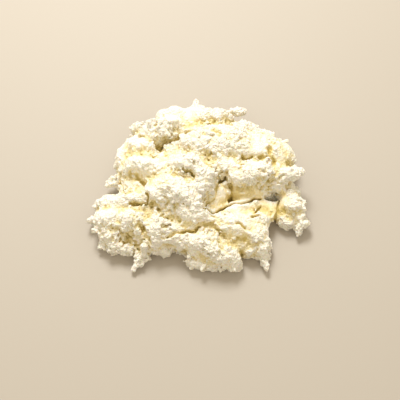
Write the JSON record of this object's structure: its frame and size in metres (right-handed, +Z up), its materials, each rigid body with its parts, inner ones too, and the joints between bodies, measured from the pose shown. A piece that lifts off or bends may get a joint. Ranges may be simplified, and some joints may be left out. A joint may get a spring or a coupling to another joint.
{
  "type": "heap of fresh curd cheese",
  "caption": "Crumbly heap of fresh white curd cheese in one soft mass, with torn lumps, a long cleft and a flat underside to rest on a board or plate.",
  "frame": {"origin": "middle of the heap's footprint box, on the flat underside that it rests on", "axes": "+Z up, +X along the heap's longest side towards the small side lump, -Y to the front, where the long cleft opens"},
  "size_m": [0.172, 0.142, 0.046],
  "materials": {
    "curd": "moist, finely crumbly, off-white to cream"
  },
  "bodies": {
    "root": {"cheese_heap": "curd"}
  },
  "joints": []
}
